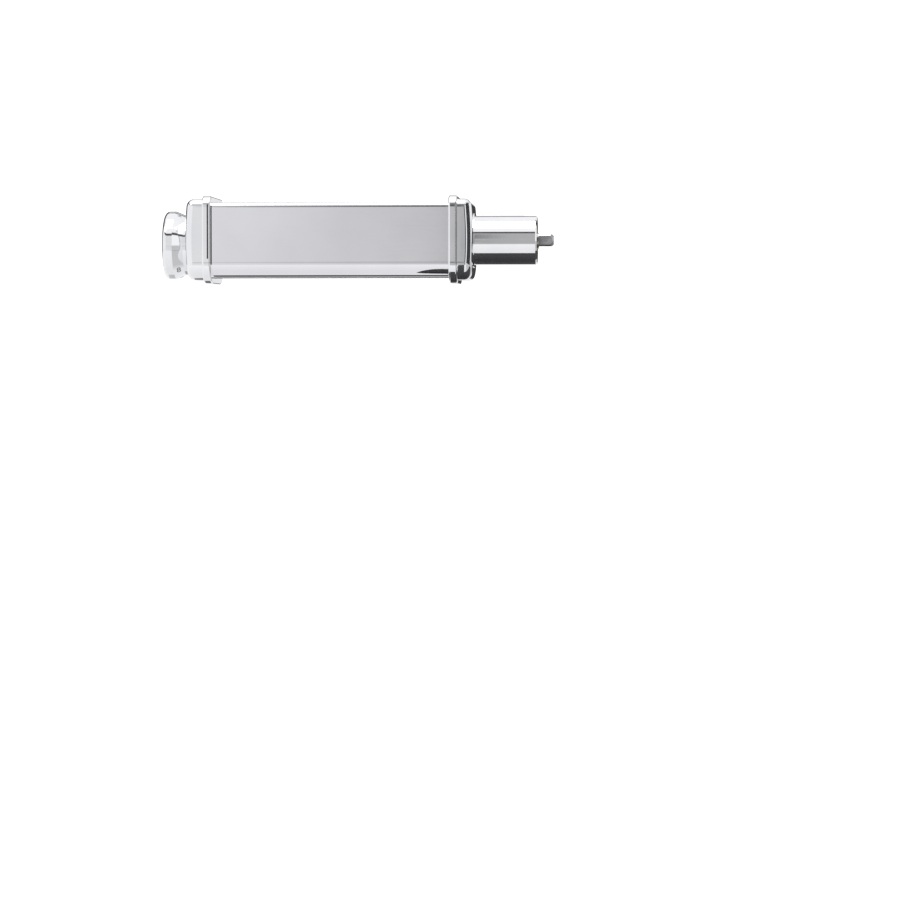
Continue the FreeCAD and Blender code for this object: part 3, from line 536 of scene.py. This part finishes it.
spring_low, spring_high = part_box("knob_spring")
spring_length = spring_high.x - spring_low.x
spring_radius = (spring_high.z - spring_low.z - SPRING_WIRE) / 2
open_climb = spring_length - SPRING_WIRE * (1 + 2 * FLAT_TURNS)
all_turns = OPEN_TURNS + 2 * FLAT_TURNS


def climb(turn):
    """Height of the wire's middle after so many turns."""
    flat = min(turn, FLAT_TURNS) + max(turn - FLAT_TURNS - OPEN_TURNS, 0)
    opened = min(max(turn - FLAT_TURNS, 0), OPEN_TURNS)
    return SPRING_WIRE * (0.5 + flat) + open_climb * opened / OPEN_TURNS


print("spring", all_turns, "turns in", mm(spring_length), "mm")

# %% [markdown]
# A screw modifier would wind an even helix, but not one with flat ends. Here a ring of points is
# carried along the path instead, each ring is joined to the one before, and both ends are closed.

# %% Wind the wire
POINTS_PER_TURN = 28
WIRE_SIDES = 10


def wire_ring(shape, turn):
    angle = 2 * math.pi * turn
    outward = Vector((0, math.cos(angle), math.sin(angle)))
    middle = Vector((spring_low.x + climb(turn), 0, knob_axis_z)) + outward * spring_radius
    ring = []
    for side in range(WIRE_SIDES):
        lean = 2 * math.pi * side / WIRE_SIDES
        offset = outward * math.cos(lean) + Vector((math.sin(lean), 0, 0))
        ring.append(shape.verts.new(middle + offset * (SPRING_WIRE / 2)))
    return ring


coil = bmesh.new()
steps = all_turns * POINTS_PER_TURN
rings = [wire_ring(coil, all_turns * step / steps) for step in range(steps + 1)]
for first, second in zip(rings, rings[1:]):
    for side in range(WIRE_SIDES):
        after = (side + 1) % WIRE_SIDES
        coil.faces.new((first[side], first[after], second[after], second[side]))
coil.faces.new(rings[0])
coil.faces.new(rings[-1])
bmesh.ops.recalc_face_normals(coil, faces=coil.faces)
print("wire of", len(rings), "rings and", len(coil.faces), "faces")

# %% [markdown]
# The coil takes the place of the sleeve. It rides on the adjuster. A pulled knob shortens its
# spring, but this coil keeps the length it was wound to.

spring_mesh = bpy.data.meshes.new("spring_coil")
coil.to_mesh(spring_mesh)
coil.free()
spring = add_object("spring_coil", spring_mesh)
smooth_round_faces(spring)
dress(spring, finishes["machined_steel"])
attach(spring, "adjuster")
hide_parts("knob_spring")
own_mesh(spring)

# %% [markdown]
# The floor is a plain pale disc, well below: the attachment hangs on a drive hub, so nothing
# holds it up from underneath. The chrome does not mirror the floor, because a white floor would
# wash out the dark line that shapes the bottom of the housing.

# %% Floor
FLOOR_Z = -0.360
FLOOR_RADIUS = 30.0
FLOOR_SIDES = 96
FLOOR_DARK = (0.86, 0.86, 0.865)
FLOOR_LIGHT = (0.90, 0.90, 0.905)


def pale_floor():
    finish, tree, shader = new_finish("pale_floor", PLASTIC)
    tint(tree, shader, grain(tree, scale=3, detail=3), FLOOR_DARK, FLOOR_LIGHT)
    set_roughness(tree, shader, spread(tree, grain(tree, scale=40), low=0.7, high=0.85))
    return finish


bpy.ops.mesh.primitive_circle_add(vertices=FLOOR_SIDES, radius=FLOOR_RADIUS, fill_type="NGON",
                                  location=(0, 0, FLOOR_Z))
floor = bpy.context.object
floor.name = "floor"
floor.visible_glossy = False
dress(floor, pale_floor())
print("floor", mm(-FLOOR_Z), "mm below the hub's axis")

# %% [markdown]
# Chrome is a picture of the room, so the room is the real material here. It could be built of
# walls and cards, but a world shader can work it out from the direction in which a ray leaves. A
# direction has three parts, across (X), along (Y) and up (Z), each from -1 to 1.

# %% An empty room
room = bpy.data.worlds.new("studio")
bpy.context.scene.world = room
room.use_nodes = True
walls = room.node_tree
walls.nodes.clear()
ray = walls.nodes.new("ShaderNodeTexCoord")
split = walls.nodes.new("ShaderNodeSeparateXYZ")
walls.links.new(ray.outputs["Generated"], split.inputs["Vector"])
across, along, up = (split.outputs[axis] for axis in "XYZ")
print("room nodes", len(walls.nodes))

# %% [markdown]
# A ramp over one part of the direction paints a stripe on the room, and the product of two
# stripes is a patch. These helpers make stripes, multiply them and lay one tone over another.

# %% Helpers for the room
COOL_CAST = 1.01            # a trace more blue than red and green


def band(part, stops):
    """Grey ramp over a part of the direction; stops are (part, brightness) from -1 to 1."""
    reach = walls.nodes.new("ShaderNodeMapRange")
    reach.inputs["From Min"].default_value = -1
    reach.inputs["From Max"].default_value = 1
    ramp = walls.nodes.new("ShaderNodeValToRGB")
    marks = ramp.color_ramp.elements
    while len(marks) < len(stops):
        marks.new(0.5)
    for mark, (place, brightness) in zip(marks, stops):
        mark.position = (place + 1) / 2
        mark.color = (brightness, brightness, brightness * COOL_CAST, 1)
    walls.links.new(part, reach.inputs["Value"])
    walls.links.new(reach.outputs["Result"], ramp.inputs["Fac"])
    return ramp.outputs["Color"]


def plain(brightness):
    tone = walls.nodes.new("ShaderNodeRGB")
    tone.outputs["Color"].default_value = (brightness, brightness, brightness, 1)
    return tone.outputs["Color"]


def both(first, *others):
    """Product of several stripes."""
    for other in others:
        product = walls.nodes.new("ShaderNodeMath")
        product.operation = "MULTIPLY"
        walls.links.new(first, product.inputs[0])
        walls.links.new(other, product.inputs[1])
        first = product.outputs["Value"]
    return first


def lay_over(under, over, share):
    mix = walls.nodes.new("ShaderNodeMix")
    mix.data_type = "RGBA"
    walls.links.new(share, mix.inputs["Factor"])
    walls.links.new(under, mix.inputs[6])
    walls.links.new(over, mix.inputs[7])
    return mix.outputs[2]


print("room helpers ready, blue cast", COOL_CAST)

# %% [markdown]
# Grey walls at eye level give the flat front its tone, lighter on the left than on the right, with
# one dark strip that draws the joint between the left frame and the panel. Overhead is a white
# top light with a dark rim, and below is a light table. Behind the machine the wall is white.

# %% Studio walls
WALL = [(-1, 0.95), (-0.32, 0.95), (-0.20, 0.84), (-0.145, 0.81), (-0.064, 0.64),
        (-0.0595, 0.36), (-0.056, 0.36), (-0.048, 0.47), (0.05, 0.42), (0.08, 0.06),
        (0.19, 0.06), (0.22, 1), (1, 1)]
WALL_SHARE = [(-1, 0), (-0.36, 0), (-0.28, 1), (0.50, 1), (0.54, 0), (1, 0)]
ABOVE_AND_BELOW = [(-1, 0.86), (-0.60, 0.94), (-0.30, 0.99), (0.50, 0.06), (0.60, 0.06),
                   (0.65, 1), (1, 1)]
REAR_SHARE = [(-1, 0), (-0.03, 0), (0.05, 1), (1, 1)]
REAR_TONE = 0.95

eye_level = lay_over(band(across, WALL), plain(REAR_TONE), band(along, REAR_SHARE))
tent = lay_over(band(up, ABOVE_AND_BELOW), eye_level, band(up, WALL_SHARE))
print("room nodes with walls", len(walls.nodes))

# %% [markdown]
# Thin dark stripes shape the long edges. One lies above eye level, where the lip of the panel
# starts to turn, and one just below it, where the lower rounding starts. Both fade to the left
# and stop at the panel's right end. Low on the right the tent is a little grey, which shades the
# underside of the knob's skirt.

# %% Stripes on the walls
FRONT_SHARE = [(-1, 1), (-0.03, 1), (0.05, 0), (1, 0)]
LIP_STRIPE = [(-1, 0), (0.09, 0), (0.14, 1), (0.42, 1), (0.48, 0), (1, 0)]
LIP_FADE = [(-1, 0), (-0.147, 0), (-0.132, 0.55), (-0.07, 0.92), (-0.057, 0.92), (-0.053, 0),
            (1, 0)]
LIP_TONE = 0.06
HEM_STRIPE = [(-1, 0), (-0.14, 0), (-0.10, 1), (-0.04, 1), (-0.012, 0), (1, 0)]
HEM_FADE = [(-1, 0), (-0.16, 0), (-0.14, 0.30), (-0.07, 0.65), (-0.058, 0.65), (-0.055, 0),
            (1, 0)]
HEM_TONE = 0.10
LOW_SHARE = [(-1, 1), (-0.05, 1), (0, 0), (1, 0)]
RIGHT_SHARE = [(-1, 0), (0.36, 0), (0.45, 1), (1, 1)]
LOW_TONE = 0.60

in_front = band(along, FRONT_SHARE)
lip_share = both(band(up, LIP_STRIPE), band(across, LIP_FADE), in_front)
hem_share = both(band(up, HEM_STRIPE), band(across, HEM_FADE), in_front)
low_share = both(band(up, LOW_SHARE), band(across, RIGHT_SHARE))
tent = lay_over(tent, plain(LIP_TONE), lip_share)
tent = lay_over(tent, plain(HEM_TONE), hem_share)
tent = lay_over(tent, plain(LOW_TONE), low_share)
print("room nodes with stripes", len(walls.nodes))

# %% [markdown]
# A dark ring behind the machine outlines every rounded edge, because an edge seen at a glancing
# angle mirrors what is behind it. The ring is thin above, and below it is broad and fades at both
# sides. A dark strip far to the left does the same for the upright edges of the left end and the
# knob. Inside the ring is the back wall, which the flat ends mirror: dark for the right end, light
# for the inner side of the left frame.

# %% Ring behind the machine
RING_ABOVE = [(-1, 0), (0.90, 0), (0.93, 1), (0.972, 1), (0.985, 0), (1, 0)]
ABOVE_SHARE = [(-1, 0), (-0.08, 0), (-0.04, 1), (1, 1)]
ABOVE_TONE = 0.04
LEFT_STRIP = [(-1, 0), (0.26, 0), (0.36, 1), (0.972, 1), (0.985, 0), (1, 0)]
LEFT_SHARE = [(-1, 1), (-0.20, 1), (-0.17, 0), (1, 0)]
LEVEL_SHARE = [(-1, 0), (-0.12, 0), (-0.08, 1), (0.50, 1), (0.65, 0), (1, 0)]
LEFT_TONE = 0.08
RING_BELOW = [(-1, 0), (0.44, 0), (0.54, 1), (0.86, 1), (0.90, 0), (1, 0)]
BELOW_SHARE = [(-1, 1), (-0.08, 1), (-0.04, 0), (1, 0)]
RING_FADE = [(-1, 0), (-0.165, 0), (-0.14, 1), (0, 1), (0.04, 0), (1, 0)]
BELOW_TONE = 0.06
BACK_WALL = [(-1, 0.9), (0, 0.9), (0.025, 0.05), (0.095, 0.05), (0.115, 0.85), (1, 0.85)]
BACK_SHARE = [(-1, 0), (0.972, 0), (0.985, 1), (1, 1)]

upper_ring = both(band(along, RING_ABOVE), band(up, ABOVE_SHARE))
left_strip = both(band(along, LEFT_STRIP), band(across, LEFT_SHARE), band(up, LEVEL_SHARE))
lower_ring = both(band(along, RING_BELOW), band(up, BELOW_SHARE), band(across, RING_FADE))
tent = lay_over(tent, plain(ABOVE_TONE), upper_ring)
tent = lay_over(tent, plain(LEFT_TONE), left_strip)
tent = lay_over(tent, plain(BELOW_TONE), lower_ring)
tent = lay_over(tent, band(across, BACK_WALL), band(along, BACK_SHARE))
print("room nodes with the ring", len(walls.nodes))

# %% [markdown]
# Only mirrors need that pattern. The eye should see plain white behind the machine, and the floor
# should be lit evenly, so glossy rays get the studio and every other ray gets a white tent.

# %% White backdrop
TENT_STRENGTH = 1.25
WHITE = (1, 1, 1, 1)

path = walls.nodes.new("ShaderNodeLightPath")
studio = walls.nodes.new("ShaderNodeBackground")
backdrop = walls.nodes.new("ShaderNodeBackground")
backdrop.inputs["Color"].default_value = WHITE
backdrop.inputs["Strength"].default_value = TENT_STRENGTH
choose = walls.nodes.new("ShaderNodeMixShader")
out = walls.nodes.new("ShaderNodeOutputWorld")
walls.links.new(tent, studio.inputs["Color"])
walls.links.new(path.outputs["Is Glossy Ray"], choose.inputs["Fac"])
walls.links.new(backdrop.outputs["Background"], choose.inputs[1])
walls.links.new(studio.outputs["Background"], choose.inputs[2])
walls.links.new(choose.outputs["Shader"], out.inputs["Surface"])
print("room nodes in all", len(walls.nodes))

# %% [markdown]
# Black cards stand close to the machine, as flags do in a product photograph. Only mirrors see
# them: they cast no shade and hide nothing. They are felt, which stays black under any light.

# %% Black felt for the flags
FELT_DARK = (0.012, 0.012, 0.013)
FELT_LIGHT = (0.03, 0.03, 0.032)


def black_felt():
    finish, tree, shader = new_finish("black_felt", PLASTIC)
    tint(tree, shader, grain(tree, scale=900, detail=4), FELT_DARK, FELT_LIGHT)
    set_roughness(tree, shader, spread(tree, grain(tree, scale=300), low=0.85, high=0.95))
    return finish


felt = black_felt()
print("finish", felt.name, "for the flags")

# %% [markdown]
# The upright flag draws the black line down the rounded edge of the right cover. The large flat
# one lies under the hub and darkens the hub's lower half and the bottom of the right cover. The
# spot flag, right under the panel, draws a tapering spot at the end of its rounding, and is small
# so that the panel does not mirror it in a view from above. The narrow strip draws a dark line
# down the left frame.

# %% Black flags
UPRIGHT_FLAG_X = 0.062
UPRIGHT_FLAG = [(-0.167, -0.035), (-0.031, -0.035), (-0.031, 0.12), (-0.167, 0.12)]
LOW_FLAG_Z = -0.10
LOW_FLAG = [(-0.022, -0.086), (-0.016, -0.086), (-0.0255, -0.27), (-0.0195, -0.27),
            (-0.0055, -0.06), (0.25, -0.06), (0.25, 0.10), (-0.016, 0.10), (-0.022, 0.005)]
SPOT_FLAG_Z = -0.031
SPOT_FLAG = [(-0.0386, -0.0251), (-0.0371, -0.0272), (-0.0348, -0.0296), (-0.0321, -0.0317),
             (-0.0288, -0.0336), (-0.025, -0.0349), (-0.0215, -0.0352), (-0.0164, -0.0342),
             (-0.0163, -0.0226), (-0.0253, -0.0229), (-0.0334, -0.0237)]
STRIP_FLAG_Y = -0.0358
STRIP_FLAG = [(-0.17795, -0.0128), (-0.17705, -0.0128), (-0.17705, 0.0252), (-0.17795, 0.0252)]


def flag(name, corners):
    mesh = bpy.data.meshes.new(name)
    mesh.from_pydata(corners, [], [range(len(corners))])
    card = add_object(name, mesh)
    card.visible_camera = False
    card.visible_diffuse = False
    card.visible_shadow = False
    card.visible_transmission = False
    dress(card, felt)
    print("flag", name, "with", len(corners), "corners")


flag("upright_flag", [(UPRIGHT_FLAG_X, y, z) for y, z in UPRIGHT_FLAG])
flag("low_flag", [(x, y, LOW_FLAG_Z) for x, y in LOW_FLAG])
flag("spot_flag", [(x, y, SPOT_FLAG_Z) for x, y in SPOT_FLAG])
flag("strip_flag", [(x, STRIP_FLAG_Y, z) for x, z in STRIP_FLAG])

# %% [markdown]
# Two large soft lights shape what is not a mirror: the nylon, the rollers and the floor. They
# hang inside the white part of the tent, so the chrome shows no new shapes.

# %% Soft lights
def aim(thing, place, target):
    """Put a light or camera at a place, with its -Z axis on the target."""
    thing.location = place
    thing.rotation_euler = (target - place).to_track_quat("-Z", "Y").to_euler()


def soft_light(name, place, size, power):
    lamp = bpy.data.lights.new(name, "AREA")
    lamp.shape = "DISK"
    lamp.size = size
    lamp.energy = power
    light = add_object(name, lamp)
    aim(light, Vector(place), Vector((0, 0, 0)))
    light.visible_camera = False
    print(name, power, "W,", size, "m across")


soft_light("top_light", place=(-0.3, -0.5, 2.2), size=1.6, power=30)
soft_light("left_light", place=(-1.6, -0.9, 1.9), size=1.2, power=12)

# %% [markdown]
# The camera stands two metres off, to the right of the machine and a little below it, so the
# left end shows more of its inner side than the right end does. A long lens keeps the sides
# nearly parallel.

# %% Camera
CAMERA_PLACE = Vector((0.112, -2.028, -0.066))
CAMERA_AIM = Vector((-0.0145, -0.0285, -0.141))
LENS = 120
SENSOR = 36

lens = bpy.data.cameras.new("camera")
lens.lens = LENS
lens.sensor_width = SENSOR
camera = add_object("camera", lens)
aim(camera, CAMERA_PLACE, CAMERA_AIM)
bpy.context.scene.camera = camera
bpy.context.scene.view_settings.view_transform = "Standard"
print("camera", round((CAMERA_AIM - CAMERA_PLACE).length, 2), "m off with a lens of", LENS, "mm")
